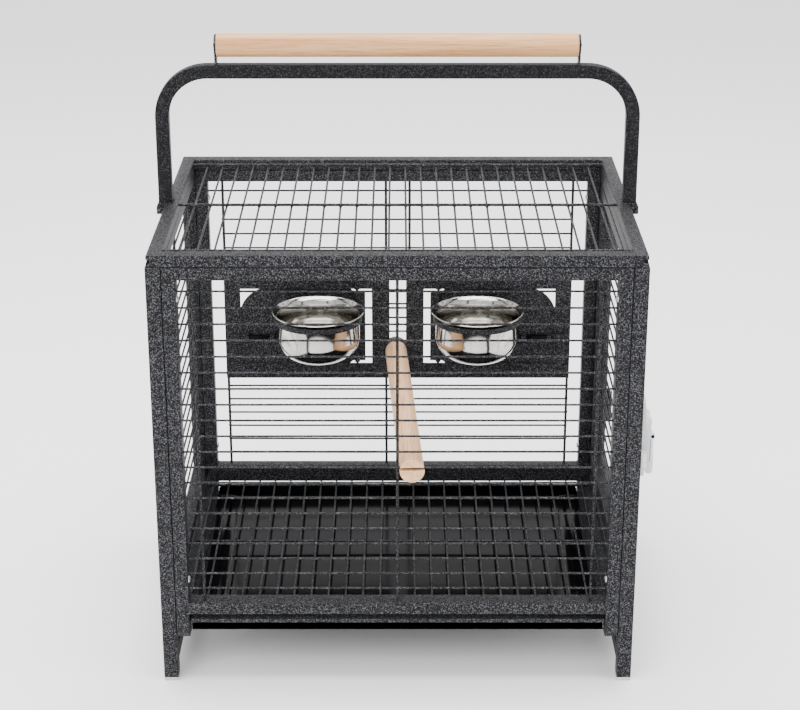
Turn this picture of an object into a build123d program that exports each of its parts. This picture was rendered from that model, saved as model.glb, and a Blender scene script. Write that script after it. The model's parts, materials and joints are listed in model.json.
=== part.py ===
from build123d import *
import os

# Bird travel cage: square tube and wire, swing-out feeder doors, side door, pull-out tray, carry arch.
# Millimetres. +Z is up, the front faces -Y, the origin is on the floor under the middle of the cage.

# ---- driving dimensions ----
half_width = 244.0          # outer face of the corner posts
half_depth = 179.0          # front and rear faces of the frame
body_height = 468.0         # top of the top frame
post = 15.0                 # corner post, square
tube_wall = 1.2
tube_round = 1.5            # outer corner radius of every tube
glide_height = 4.0          # plastic glide under each post
top_rail_height = 12.0      # top frame tube
top_frame_half = 242.5      # top frame is a little narrower than the posts
panel_stile = 14.0          # front and back panel tube, seen from the front
rail_height = 13.4          # front and back panel rails
sill_top = 91.0             # top of the lowest front and back rails
stile_bottom = 52.5
side_bottom = 20.0          # underside of the lowest side rails

wire_pitch = 17.03
wire_radius = 1.1
cross_radius = 1.5          # thicker rods that the wires are welded to
weld_sink = 0.25            # how far a wire melts into a rod
first_wire_z = 106.5        # lowest panel wire
panel_wires = 20
top_wires = 26
grate_wires = 25
grate_pitch = 18.2

door_gap = 2.0
door_bottom_z = 93.5
door_bottom_height = 20.0
door_top_height = 13.0
door_axis_x = 248.0         # hinge line, outside the door face
door_axis_y = 163.0
door_pin_radius = 2.0
running_gap = 0.05          # radial clearance of a pin in its knuckle

sheet = 1.5                 # feeder sheet and door plate thickness
sheet_y = 166.5             # inner face of the feeder sheets
feeder_axis_x = 47.0        # hinge line of a feeder door
feeder_axis_y = 163.5
feeder_pin_radius = 1.4
bowl_x = 90.0
bowl_y = 111.0
bowl_rim_z = 307.0
bowl_rim_radius = 52.0
bowl_radius = 47.0
bowl_depth = 56.0
bowl_wall = 0.9

plate_gap = 0.3             # between a feeder sheet and the door plate behind it

tray_half = 212.0
tray_floor_z = 61.0
arch_tube = 14.0
arch_leg_x = 242.0
arch_bar_z = 607.5
arch_bend = 47.5            # centre-line radius of the arch corners
grip_radius = 12.0
grip_half = 184.0
grip_z = 634.0
perch_radius = 12.5

inner_post = half_width - post
inner_stile = inner_post - panel_stile
post_back = half_depth - post
frame_top = body_height - top_rail_height
panel_depth = 20.0


# ---- helpers ----
def block(x0, x1, y0, y1, z0, z1):
    """A box between two corners."""
    middle = Pos((x0 + x1) / 2, (y0 + y1) / 2, (z0 + z1) / 2)
    return middle * Box(abs(x1 - x0), abs(y1 - y0), abs(z1 - z0))


def rod(start, end, radius):
    """A round bar from one point to another."""
    a = Vector(*start)
    b = Vector(*end)
    along = Plane(origin=a, z_dir=b - a)
    return along * Cylinder(radius, (b - a).length, align=(Align.CENTER, Align.CENTER, Align.MIN))


def tube(axis, x0, x1, y0, y1, z0, z1):
    """A hollow rectangular tube with rounded edges that fills the given box along x, y or z."""
    cx, cy, cz = (x0 + x1) / 2, (y0 + y1) / 2, (z0 + z1) / 2
    if axis == "z":
        place, wide, high, length = Plane(origin=(cx, cy, z0)), x1 - x0, y1 - y0, z1 - z0
    elif axis == "y":
        place = Plane(origin=(cx, y0, cz), x_dir=(1, 0, 0), z_dir=(0, 1, 0))
        wide, high, length = x1 - x0, z1 - z0, y1 - y0
    else:
        place = Plane(origin=(x0, cy, cz), x_dir=(0, 1, 0), z_dir=(1, 0, 0))
        wide, high, length = y1 - y0, z1 - z0, x1 - x0
    outer = RectangleRounded(wide, high, tube_round)
    inner = RectangleRounded(wide - 2 * tube_wall, high - 2 * tube_wall, tube_round - tube_wall)
    return place * extrude(outer - inner, amount=length)


def welded(solids):
    """One solid from bars that run into each other."""
    return solids[0] + solids[1:]


def mirror_x(shape):
    return mirror(shape, about=Plane.YZ)


def save(name, *solids):
    """Write one node; several separate solids stay separate."""
    flat = []
    for item in solids:
        flat.extend(item.solids())
    shape = flat[0] if len(flat) == 1 else Compound(children=flat)
    export_step(shape, "parts/" + name + ".step")


def wire_level(index):
    return first_wire_z + index * wire_pitch


os.makedirs("parts", exist_ok=True)

# ---- panel screws: they tie the front and back panels to the posts ----
screw_levels = [wire_level(0) + wire_pitch / 2, wire_level(panel_wires - 2) + wire_pitch / 2]
screw_radius = 2.4
screw_head_radius = 4.0
screw_head = 2.4
screw_length = panel_stile + post / 2
screws = []
screw_holes = []
for side in (-1, 1):
    for y in (-half_depth + post / 2, half_depth - post / 2):
        for z in screw_levels:
            face = side * inner_stile
            tip = side * (inner_stile + screw_length)
            head = rod((face - side * screw_head, y, z), (face, y, z), screw_head_radius)
            shank = rod((face, y, z), (tip, y, z), screw_radius)
            screws.append(head + shank)
            screw_holes.append(rod((face - side, y, z), (tip + side, y, z), screw_radius + running_gap))
save("panel_screws", *screws)

# ---- corner posts and their glides ----
posts = []
glides = []
for side in (-1, 1):
    for end in (-1, 1):
        x0, x1 = sorted((side * inner_post, side * half_width))
        y0, y1 = sorted((end * post_back, end * half_depth))
        upright = tube("z", x0, x1, y0, y1, glide_height, frame_top)
        posts.append(upright - screw_holes)
        pad = block(x0, x1, y0, y1, 0, glide_height)
        pad = fillet(pad.edges().group_by(Axis.Z)[0], 1.2)
        plug_in = tube_wall + 0.2
        plug = block(x0 + plug_in, x1 - plug_in, y0 + plug_in, y1 - plug_in, glide_height, 14)
        glides.append(pad + plug)
save("corner_posts", *posts)
save("foot_glides", *glides)

# ---- side frames: top rail, sill and bottom rail between the posts ----
side_rail = post


def side_rails(x0, x1, sill_z):
    top = tube("y", x0, x1, -post_back, post_back, frame_top - rail_height, frame_top)
    sill = tube("y", x0, x1, -post_back, post_back, sill_z - side_rail, sill_z)
    low = tube("y", x0, x1, -post_back, post_back, side_bottom, side_bottom + side_rail)
    return [top, sill, low]


right_sill_z = 84.0
save("left_side_rails", *side_rails(-half_width, -inner_post, sill_top))
save("right_side_rails", *side_rails(inner_post, half_width, right_sill_z))


# ---- front and back panels ----
def panel_frame(y0, y1):
    parts = []
    for side in (-1, 1):
        x0, x1 = sorted((side * inner_stile, side * inner_post))
        stile = tube("z", x0, x1, y0, y1, stile_bottom, frame_top)
        parts.append(stile - screw_holes)
    parts.append(tube("x", -inner_stile, inner_stile, y0, y1, frame_top - rail_height, frame_top))
    parts.append(tube("x", -inner_stile, inner_stile, y0, y1, sill_top - rail_height, sill_top))
    return parts


save("front_panel_frame", *panel_frame(-half_depth, -half_depth + panel_depth))
save("back_panel_frame", *panel_frame(half_depth - post, half_depth))

panel_opening = (sill_top, frame_top - rail_height)
rod_offset = wire_radius + cross_radius - weld_sink
outer_rod_x = 199.0
front_wire_y = -174.0
front = []
for k in range(panel_wires):
    z = wire_level(k)
    front.append(rod((-inner_stile, front_wire_y, z), (inner_stile, front_wire_y, z), wire_radius))
for x in (-outer_rod_x, 0, outer_rod_x):
    y = front_wire_y + rod_offset
    front.append(rod((x, y, panel_opening[0]), (x, y, panel_opening[1]), cross_radius))
save("front_grille", welded(front))

# The back wires stop at the outer rods, and leave the two feeder places free.
back_wire_y = 171.0
centre_rod_x = 13.5
feeder_levels = range(6, 13)
back = []
for k in range(panel_wires):
    z = wire_level(k)
    if k in feeder_levels:
        reach = centre_rod_x
    elif k == panel_wires - 1:
        reach = inner_stile
    else:
        reach = outer_rod_x
    back.append(rod((-reach, back_wire_y, z), (reach, back_wire_y, z), wire_radius))
for x in (-outer_rod_x, -centre_rod_x, centre_rod_x, outer_rod_x):
    y = back_wire_y + rod_offset
    back.append(rod((x, y, panel_opening[0]), (x, y, panel_opening[1]), cross_radius))
save("back_grille", welded(back))

# ---- left side grille ----
side_wire_x = 238.0
side_rod_y = 150.0
left = []
for k in range(panel_wires):
    z = wire_level(k)
    left.append(rod((-side_wire_x, -post_back, z), (-side_wire_x, post_back, z), wire_radius))
for y in (-side_rod_y, 0, side_rod_y):
    x = -side_wire_x + rod_offset
    left.append(rod((x, y, panel_opening[0]), (x, y, panel_opening[1]), cross_radius))
save("left_grille", welded(left))

# ---- top frame and grille ----
top_inner_x = top_frame_half - 13.5
top_inner_y = half_depth - 15.0
notch = 4.0
rails = []
for end in (-1, 1):
    y0, y1 = sorted((end * top_inner_y, end * half_depth))
    rail = tube("x", -top_frame_half, top_frame_half, y0, y1, frame_top, body_height)
    for side in (-1, 1):
        nick = block(side * (top_frame_half - notch), side * (top_frame_half + 1),
                     end * (half_depth - tube_wall), end * (half_depth + 1),
                     frame_top + notch, frame_top + 2 * notch)
        rail = rail - nick
    rails.append(rail)
for side in (-1, 1):
    x0, x1 = sorted((side * top_inner_x, side * top_frame_half))
    rails.append(tube("y", x0, x1, -top_inner_y, top_inner_y, frame_top, body_height))
save("top_frame", *rails)

top_wire_z = 462.6
top_rod_y = 154.0
roof = []
for k in range(top_wires):
    x = (k - (top_wires - 1) / 2) * wire_pitch
    roof.append(rod((x, -top_inner_y, top_wire_z), (x, top_inner_y, top_wire_z), wire_radius))
for y in (-top_rod_y, 0, top_rod_y):
    z = top_wire_z + rod_offset
    roof.append(rod((-top_inner_x, y, z), (top_inner_x, y, z), cross_radius))
save("top_grille", welded(roof))

# ---- floor grate on the runners ----
ledge_z = 71.5
grate_rod_z = ledge_z + cross_radius
grate_wire_z = grate_rod_z + rod_offset
grate_front = -156.0
grate_rear = 162.5
grate_rod_y = 148.0
grate_x = 226.0
grate = []
for k in range(grate_wires):
    x = (k - (grate_wires - 1) / 2) * grate_pitch
    grate.append(rod((x, grate_front, grate_wire_z), (x, grate_rear, grate_wire_z), wire_radius))
for y in (-grate_rod_y, 0, grate_rod_y):
    grate.append(rod((-grate_x, y, grate_rod_z), (grate_x, y, grate_rod_z), cross_radius))
save("floor_grate", welded(grate))

# A runner is a folded strip on each side frame: the tray slides on its lower ledge, the grate lies on
# its upper one.
runner_y = 157.0
web = 1.2
lower_reach = 205.0
upper_reach = 219.0
runner = (
    block(lower_reach, inner_post, -runner_y, runner_y, tray_floor_z - web, tray_floor_z)
    + block(inner_post - web, inner_post, -runner_y, runner_y, tray_floor_z - web, ledge_z)
    + block(upper_reach, inner_post, -runner_y, runner_y, ledge_z - web, ledge_z)
)
save("tray_runners", runner, mirror_x(runner))

# A strip under the back rail closes the gap behind the grate. The tray slides below it.
strip_reach = 215.0
strip_thick = 1.0
strip_low = 71.5
strip_high = 79.0
rear_strip = block(-strip_reach, strip_reach, post_back - strip_thick, post_back, strip_low, strip_high)
save("rear_strip", rear_strip)

# ---- pull-out tray: shallow pan with a turned-up front lip ----
tray_wall = 1.0
tray_lip_top = 73.0
tray_side_top = 69.0
tray_front_y = -half_depth
tray_rear_y = 160.0
lip_half = inner_stile - 1.2
pan = block(-tray_half, tray_half, tray_front_y, tray_rear_y, tray_floor_z, tray_side_top)
pan = pan - block(-tray_half + tray_wall, tray_half - tray_wall, tray_front_y + tray_wall,
                  tray_rear_y - tray_wall, tray_floor_z + tray_wall, tray_side_top + 1)
lip = block(-lip_half, lip_half, tray_front_y, tray_front_y + 1.4, tray_floor_z, tray_lip_top)
fold = block(-lip_half, lip_half, tray_front_y, tray_front_y + 9, tray_lip_top - tray_wall, tray_lip_top)
save("tray", pan + lip + fold)

# ---- side door ----
door_y = post_back - door_gap
door_top_z = frame_top - rail_height - door_gap
door_parts = []
for end in (-1, 1):
    y0, y1 = sorted((end * (door_y - post), end * door_y))
    door_parts.append(tube("z", inner_post, half_width, y0, y1, door_bottom_z, door_top_z))
door_inner_y = door_y - post
bottom_rail_top = door_bottom_z + door_bottom_height
door_parts.append(tube("y", inner_post, half_width, -door_inner_y, door_inner_y,
                       door_bottom_z, bottom_rail_top))
door_parts.append(tube("y", inner_post, half_width, -door_inner_y, door_inner_y,
                       door_top_z - door_top_height, door_top_z))
save("door_frame", *door_parts)

door_wires = []
for k in range(1, panel_wires - 1):
    z = wire_level(k)
    door_wires.append(rod((side_wire_x, -door_inner_y, z), (side_wire_x, door_inner_y, z), wire_radius))
rod_x = side_wire_x - rod_offset
door_wires.append(rod((rod_x, 0, bottom_rail_top), (rod_x, 0, door_top_z - door_top_height), cross_radius))
save("door_grille", welded(door_wires))

# ---- door hinges: a leaf and knuckle on the door above one on the rear post, and a pin ----
knuckle_radius = 4.0
knuckle_length = 18.0
knuckle_gap = 0.4
leaf = 1.6
leaf_reach = 14.0
cap_height = 2.4
cap_radius = 3.2
hinge_levels = (170.0, 370.0)
door_knuckles = []
post_knuckles = []
pins = []
for z in hinge_levels:
    bore = rod((door_axis_x, door_axis_y, z - 30), (door_axis_x, door_axis_y, z + 30),
               door_pin_radius + running_gap)
    upper = rod((door_axis_x, door_axis_y, z + knuckle_gap),
                (door_axis_x, door_axis_y, z + knuckle_length), knuckle_radius)
    upper = upper + block(half_width, half_width + leaf, door_axis_y - leaf_reach, door_axis_y,
                          z + knuckle_gap, z + knuckle_length)
    lower = rod((door_axis_x, door_axis_y, z - knuckle_length),
                (door_axis_x, door_axis_y, z), knuckle_radius)
    lower = lower + block(half_width, half_width + leaf, door_axis_y, door_axis_y + leaf_reach,
                          z - knuckle_length, z)
    lower = lower - block(half_width - 1, half_width, door_axis_y - 1, door_axis_y + 1, z - 20, z)
    door_knuckles.append(upper - bore)
    post_knuckles.append(lower - bore)
    pin = rod((door_axis_x, door_axis_y, z - knuckle_length),
              (door_axis_x, door_axis_y, z + knuckle_length + knuckle_gap), door_pin_radius)
    cap = rod((door_axis_x, door_axis_y, z + knuckle_length + knuckle_gap),
              (door_axis_x, door_axis_y, z + knuckle_length + cap_height), cap_radius)
    pins.append(pin + cap)
save("door_hinge_knuckles", *door_knuckles)
save("post_hinge_knuckles", *post_knuckles)
save("door_hinge_pins", *pins)

# ---- door latch: base, housing, lever on a cross pin, sliding bolt, strike on the front post ----
latch_y = -141.0
latch_half = 17.0
latch_low = 226.0
latch_high = 307.0
base_x = 250.0
housing_x = 255.0
housing_low = 240.0
housing_high = 291.0
bolt_low = 245.2
bolt_high = 252.8
bolt_x = (245.2, 249.0)
bolt_rest_y = -157.4
slot_gap = 0.25


def round_topped(x0, x1, z0, z1, half):
    """A plate in the YZ plane with a half-round top."""
    flat = block(x0, x1, latch_y - half, latch_y + half, z0, z1 - half)
    crown = rod((x0, latch_y, z1 - half), (x1, latch_y, z1 - half), half)
    return flat + crown


bolt_slot = block(bolt_x[0] - slot_gap, bolt_x[1] + slot_gap, latch_y - latch_half - 1, -125.5,
                  bolt_low - slot_gap, bolt_high + slot_gap)
save("latch_base", round_topped(half_width, base_x, latch_low, latch_high, latch_half) - bolt_slot)

lever_axis_x = 257.5
lever_axis_z = 269.0
lever_pin_radius = 1.0
lever_half = 12.8
ear = round_topped(base_x, housing_x, housing_low, housing_high, latch_half - 1)
for side in (-1, 1):
    y0, y1 = sorted((latch_y + side * (lever_half + 0.4), latch_y + side * (latch_half - 1)))
    cheek = block(housing_x - 1, lever_axis_x + 2, y0, y1, lever_axis_z - 3, lever_axis_z + 3)
    ear = ear + cheek
boss_z = 279.0
boss_radius = 4.0
boss = rod((housing_x - 1, latch_y, boss_z), (housing_x + 2.6, latch_y, boss_z), boss_radius)
pin_line = ((lever_axis_x, latch_y - latch_half + 1, lever_axis_z),
            (lever_axis_x, latch_y + latch_half - 1, lever_axis_z))
save("latch_housing", ear + boss - rod(*pin_line, lever_pin_radius + running_gap))
save("latch_pin", rod(*pin_line, lever_pin_radius))

lever_thick = 4.0
lever = rod((lever_axis_x, latch_y - lever_half, lever_axis_z),
            (lever_axis_x, latch_y + lever_half, lever_axis_z), lever_thick / 2)
lever = lever + block(lever_axis_x - lever_thick / 2, lever_axis_x + lever_thick / 2,
                      latch_y - lever_half, latch_y + lever_half, latch_low, lever_axis_z)
lever = lever + block(base_x + 0.5, lever_axis_x + 1, latch_y - lever_half, latch_y + lever_half,
                      latch_low + 1, housing_low - 1)
save("latch_lever", lever - rod(*pin_line, lever_pin_radius + running_gap))
save("latch_bolt", block(bolt_x[0], bolt_x[1], bolt_rest_y, -127, bolt_low, bolt_high))
keeper_y = (-174.0, -162.0)
keeper_wall = 4.0
pocket_gap = 0.5
keeper = block(half_width, base_x, *keeper_y, bolt_low - keeper_wall, bolt_high + keeper_wall)
pocket = block(bolt_x[0] - pocket_gap, bolt_x[1] + pocket_gap, keeper_y[0] + 3, keeper_y[1] + 1,
               bolt_low - pocket_gap, bolt_high + pocket_gap)
save("latch_strike", keeper - pocket)

# ---- feeder sheets on the back, one left and one right ----
sheet_inner = 9.5
sheet_outer = 200.5
sheet_low = 203.0
sheet_high = 332.0
hole_inner = 30.0
hole_outer = 182.0
hole_low = 221.5
hole_high = 313.5
plate = block(sheet_inner, sheet_outer, sheet_y, sheet_y + sheet, sheet_low, sheet_high)
plate = plate - block(hole_inner, hole_outer, sheet_y - 1, sheet_y + sheet + 1, hole_low, hole_high)
save("feeder_sheets", plate, mirror_x(plate))


# ---- feeder hinges: fixed loops, one long pin, and knuckles on the door plate ----
loop_radius = 3.0
loop_foot = 2.0


def knuckle(z0, z1, foot_y):
    """A barrel round the hinge pin, with a foot that reaches back to the plate it sits on."""
    barrel = rod((feeder_axis_x, feeder_axis_y, z0), (feeder_axis_x, feeder_axis_y, z1), loop_radius)
    foot = block(feeder_axis_x - loop_foot, feeder_axis_x + loop_foot, feeder_axis_y, foot_y, z0, z1)
    bore = rod((feeder_axis_x, feeder_axis_y, z0 - 1), (feeder_axis_x, feeder_axis_y, z1 + 1),
               feeder_pin_radius + running_gap)
    return barrel + foot - bore


pin_low = 209.0
pin_high = 320.5
low_loop = (212.5, 219.0)
high_loop = (hole_high + 0.8, hole_high + 5.5)
loops = [knuckle(*low_loop, sheet_y), knuckle(*high_loop, sheet_y)]
save("feeder_hinge_loops", *loops, *[mirror_x(item) for item in loops])
feeder_pin = rod((feeder_axis_x, feeder_axis_y, pin_low), (feeder_axis_x, feeder_axis_y, pin_high),
                 feeder_pin_radius)
save("feeder_hinge_pins", feeder_pin, mirror_x(feeder_pin))

# ---- feeder doors: plate behind the sheet, hinge knuckles, hood, ring for the bowl, bolt guides ----
# The plate overlaps the hole all round, but is cut in at the hinge so that this edge can swing through.
plate_y = sheet_y + sheet + plate_gap
weld_in = 0.4                # how far a fitting is sunk into the plate
plate_overlap = 1.5
plate_inner = 37.7
notch_x = 52.0
notch_slant = 5.0
notch_inside = 3.0
corner_round = 37.0
low_edge = hole_low - plate_overlap
high_edge = hole_high + plate_overlap
outer_edge = hole_outer + plate_overlap
outline = [
    (plate_inner, hole_low + notch_inside),
    (notch_x, hole_low + notch_inside),
    (notch_x + notch_slant, low_edge),
    (outer_edge, low_edge),
    (outer_edge, high_edge),
    (notch_x + notch_slant, high_edge),
    (notch_x, hole_high - notch_inside),
    (plate_inner, hole_high - notch_inside),
]
with BuildSketch(Plane.XZ.offset(-plate_y)) as plate_face:
    with BuildLine():
        Polyline(*outline, close=True)
    make_face()
    top_corner = plate_face.vertices().sort_by(lambda v: v.X + v.Y)[-1]
    fillet(top_corner, corner_round)
leaf_plate = extrude(plate_face.sketch, amount=-sheet)

ring_top = bowl_rim_z - 5.0
ring_height = 6.0
ring_inner = bowl_radius + 0.7
ring_outer = ring_inner + 2.2
ring_middle = ring_top - ring_height / 2
arm_half = 14.0
ring = Pos(bowl_x, bowl_y, ring_middle) * (
    Cylinder(ring_outer, ring_height) - Cylinder(ring_inner, ring_height)
)
arm = block(bowl_x - arm_half, bowl_x + arm_half, bowl_y + ring_inner - 3, plate_y + weld_in,
            ring_top - ring_height, ring_top)
arm = arm - Pos(bowl_x, bowl_y, ring_middle) * Cylinder(ring_inner + 0.5, ring_height + 2)

# The hood is a thin shelf under the top edge of the plate, with a curved front edge.
hood_x = 108.0
hood_reach = 6.5
hood_radius = 88.0
hood_top = hole_high - 1.0
hood_centre_y = plate_y - hood_reach + hood_radius
hood_disc = Pos(hood_x, hood_centre_y, hood_top - sheet / 2) * Cylinder(hood_radius, sheet)
hood = hood_disc & block(hood_x - 50, hood_x + 50, plate_y - 20, plate_y + weld_in, hood_top - 5, hood_top)

guide_z = 254.5
guide_high = 5.0
guide_half = 2.5
guide_wall = 1.6
bolt_back = sheet_y - 0.5
bolt_front = sheet_y - 4.0
guides = []
for x in (146.0, 176.0):
    hoop = block(x - guide_half, x + guide_half, bolt_front - guide_wall, plate_y + weld_in,
                 guide_z - guide_high / 2 - guide_wall, guide_z + guide_high / 2 + guide_wall)
    window = block(x - guide_half - 1, x + guide_half + 1, bolt_front - 0.2, bolt_back + 0.2,
                   guide_z - guide_high / 2 - 0.2, guide_z + guide_high / 2 + 0.2)
    guides.append(hoop - window)
feeder_door = leaf_plate + ring + arm + hood + guides
feeder_door = feeder_door + knuckle(hole_low + 3.5, hole_low + 11, plate_y + weld_in)
feeder_door = feeder_door + knuckle(hole_high - 12, hole_high - 3.5, plate_y + weld_in)
save("feeder_door_right", feeder_door)
save("feeder_door_left", mirror_x(feeder_door))

bolt_half = guide_high / 2 - 0.1
feeder_bolt = block(141.5, 179, bolt_front, bolt_back, guide_z - bolt_half, guide_z + bolt_half)
knob_x = 153.0
knob = rod((knob_x, bolt_front + 0.1, guide_z), (knob_x, bolt_front - 6, guide_z), 2.6)
feeder_bolt = feeder_bolt + knob
save("feeder_bolt_right", feeder_bolt)
save("feeder_bolt_left", mirror_x(feeder_bolt))
catch_x = 184.0
catch = block(catch_x, catch_x + 10, bolt_front - 2, sheet_y, guide_z - 5, guide_z + 5)
catch = catch - block(catch_x - 1, catch_x + 8.5, bolt_front - 0.6, sheet_y + 1, guide_z - 3, guide_z + 3)
save("feeder_keepers", catch, mirror_x(catch))

# ---- steel bowls: nearly straight wall, round lower edge, lip flared out over the ring ----
bowl_low = bowl_rim_z - bowl_depth
bowl_curve = 26.0
wall_top = bowl_rim_z - 4.6
lip_edge = 0.9


def bowl_outline(radius, bottom, curve, top):
    """Half section from the axis out along the bottom and up the wall."""
    with BuildLine() as line:
        floor = Line((0, bottom), (radius - curve, bottom))
        bend = TangentArc(floor @ 1, (radius, bottom + curve), tangent=floor % 1)
        Line(bend @ 1, (radius, top))
        Line((radius, top), (0, top))
        Line((0, top), (0, bottom))
    return make_face(line.line)


cup_outside = Plane.XZ * bowl_outline(bowl_radius, bowl_low, bowl_curve, wall_top)
cup_inside = Plane.XZ * bowl_outline(bowl_radius - bowl_wall, bowl_low + bowl_wall, bowl_curve - bowl_wall,
                                     wall_top + 1)
cup = revolve(cup_outside, Axis.Z) - revolve(cup_inside, Axis.Z)
flare = [
    (bowl_radius - bowl_wall, wall_top - 0.4),
    (bowl_radius, wall_top - 0.4),
    (bowl_rim_radius, bowl_rim_z - lip_edge),
    (bowl_rim_radius, bowl_rim_z),
    (bowl_rim_radius - lip_edge, bowl_rim_z),
    (bowl_radius - bowl_wall, wall_top + 0.5),
]
with BuildLine() as flare_line:
    Polyline(*flare, close=True)
cup = cup + revolve(Plane.XZ * make_face(flare_line.line), Axis.Z)
save("bowl_right", Pos(bowl_x, bowl_y, 0) * cup)
save("bowl_left", Pos(-bowl_x, bowl_y, 0) * cup)

# ---- carry arch: one bent square tube standing on the top frame ----
arch_corners = [
    (-arch_leg_x, body_height),
    (-arch_leg_x, arch_bar_z),
    (arch_leg_x, arch_bar_z),
    (arch_leg_x, body_height),
]
with BuildLine(Plane.XZ) as arch_path:
    FilletPolyline(*arch_corners, radius=arch_bend)
arch_start = Plane(origin=(-arch_leg_x, 0, body_height))
arch_outer = arch_start * RectangleRounded(arch_tube, arch_tube, tube_round)
arch_hole = arch_start * RectangleRounded(arch_tube - 2 * tube_wall, arch_tube - 2 * tube_wall, 0.3)
arch = sweep(arch_outer, path=arch_path.line) - sweep(arch_hole, path=arch_path.line)
save("carry_arch", arch)

# Each ear is welded to the foot of a leg and bolted to the outside of the top frame.
ear_out = 251.5
ear_bolt_z = frame_top + top_rail_height / 2
bolt_radius = 2.4
arch_ear = block(top_frame_half, ear_out, -7, 7, frame_top + 1, body_height)
top_edge = arch_ear.edges().filter_by(Axis.Y).sort_by(lambda e: e.center().X + e.center().Z)[-1]
arch_ear = fillet(top_edge, 4.0)
ear_hole = rod((top_frame_half - 1, 0, ear_bolt_z), (ear_out + 1, 0, ear_bolt_z), bolt_radius + running_gap)
arch_ear = arch_ear - ear_hole
ear_sink = rod((ear_out - 3, 0, ear_bolt_z), (ear_out + 1, 0, ear_bolt_z), 4.4)
save("arch_ears", arch_ear - ear_sink, mirror_x(arch_ear - ear_sink))
ear_bolt = rod((top_frame_half + 0.1, 0, ear_bolt_z), (ear_out - 3, 0, ear_bolt_z), bolt_radius)
ear_bolt = ear_bolt + rod((ear_out - 3, 0, ear_bolt_z), (ear_out - 0.2, 0, ear_bolt_z), 4.2)
save("arch_bolts", ear_bolt, mirror_x(ear_bolt))

# ---- wooden grip between two tabs ----
grip = Plane(origin=(-grip_half, 0, grip_z), z_dir=(1, 0, 0)) * Cylinder(
    grip_radius, 2 * grip_half, align=(Align.CENTER, Align.CENTER, Align.MIN)
)
grip = fillet(grip.edges().filter_by(GeomType.CIRCLE), 1.5)
grip_screw_radius = 2.2
tab = 2.0
tab_low = arch_bar_z + arch_tube / 2
tab_high = grip_z + 11
screw_line = ((grip_half - 25, 0, grip_z), (grip_half + tab, 0, grip_z))
grip_hole_ends = ((grip_half - 26, 0, grip_z), (grip_half + tab + 1, 0, grip_z))
grip_hole = rod(*grip_hole_ends, grip_screw_radius + running_gap)
grip_end = block(grip_half, grip_half + tab, -7, 7, tab_low, grip_z)
grip_end = grip_end + rod((grip_half, 0, grip_z), (grip_half + tab, 0, grip_z), tab_high - grip_z)
grip_end = grip_end - grip_hole
save("grip", grip - [grip_hole, mirror_x(grip_hole)])
save("grip_tabs", grip_end, mirror_x(grip_end))
grip_screw = rod(*screw_line, grip_screw_radius)
grip_screw = grip_screw + rod((grip_half + tab, 0, grip_z), (grip_half + tab + 2.6, 0, grip_z), 4.5)
save("grip_screws", grip_screw, mirror_x(grip_screw))

# ---- perch: slotted over a front wire, bolted through the gap between the feeder sheets ----
perch_front = Vector(14.8, -half_depth, 240.7)
perch_back = Vector(-2.0, sheet_y - 1.0, 237.0)
perch = rod(perch_front, perch_back, perch_radius)
slot_z = wire_level(8)
perch_slot = block(-5, 35, -half_depth - 3, front_wire_y + 9, slot_z - 1.6, slot_z + 1.6)
perch_bolt_radius = 2.5
along = (perch_back - perch_front).normalized()
bolt_in_wood = 30.0
bolt_out = 18.5
bolt_start = perch_back - along * bolt_in_wood
bolt_end = perch_back + along * bolt_out
perch_hole = rod(bolt_start - along, bolt_end, perch_bolt_radius + running_gap)
save("perch", perch - perch_slot - perch_hole)
save("perch_bolt", rod(bolt_start, bolt_end, perch_bolt_radius))
washer_start = perch_back + along * 10.6      # just behind the wires
washer_thick = 1.6
washer_radius = 14.0
washer = rod(washer_start, washer_start + along * washer_thick, washer_radius)
save("perch_washer", washer - perch_hole)
nut_start = washer_start + along * (washer_thick + 0.2)
nut_height = 6.0
nut_radius = 5.5
wing_radius = 1.8
wing = rod(nut_start, nut_start + along * nut_height, nut_radius)
for side in (-1, 1):
    tip = nut_start + along * 4 + Vector(side * 13, 0, 4)
    wing = wing + rod(nut_start + along * nut_height / 2, tip, wing_radius)
save("perch_wing_nut", wing - perch_hole)
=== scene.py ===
import json
import math

import bmesh
import bpy
from mathutils import Matrix, Vector


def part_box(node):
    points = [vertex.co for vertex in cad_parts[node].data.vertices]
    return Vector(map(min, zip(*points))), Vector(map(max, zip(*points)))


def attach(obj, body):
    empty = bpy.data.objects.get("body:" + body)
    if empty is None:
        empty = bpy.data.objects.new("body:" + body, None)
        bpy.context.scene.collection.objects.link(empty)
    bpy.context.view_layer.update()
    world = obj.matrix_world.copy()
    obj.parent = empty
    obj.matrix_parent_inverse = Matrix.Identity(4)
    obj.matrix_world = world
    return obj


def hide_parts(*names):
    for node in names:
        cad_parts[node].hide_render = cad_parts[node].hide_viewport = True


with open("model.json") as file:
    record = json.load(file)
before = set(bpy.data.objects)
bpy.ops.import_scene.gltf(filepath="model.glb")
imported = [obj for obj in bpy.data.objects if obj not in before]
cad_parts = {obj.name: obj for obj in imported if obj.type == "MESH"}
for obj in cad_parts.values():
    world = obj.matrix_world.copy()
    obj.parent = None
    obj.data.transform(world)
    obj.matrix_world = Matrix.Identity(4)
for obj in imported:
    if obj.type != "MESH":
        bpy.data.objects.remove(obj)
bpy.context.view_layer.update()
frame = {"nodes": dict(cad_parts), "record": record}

MM = 0.001


# ---- colours and nodes ----
def srgb(code):
    """A hex colour as linear RGBA."""
    channels = [int(code[i:i + 2], 16) / 255 for i in (1, 3, 5)]
    linear = [c / 12.92 if c <= 0.04045 else ((c + 0.055) / 1.055) ** 2.4 for c in channels]
    return (*linear, 1.0)


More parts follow.
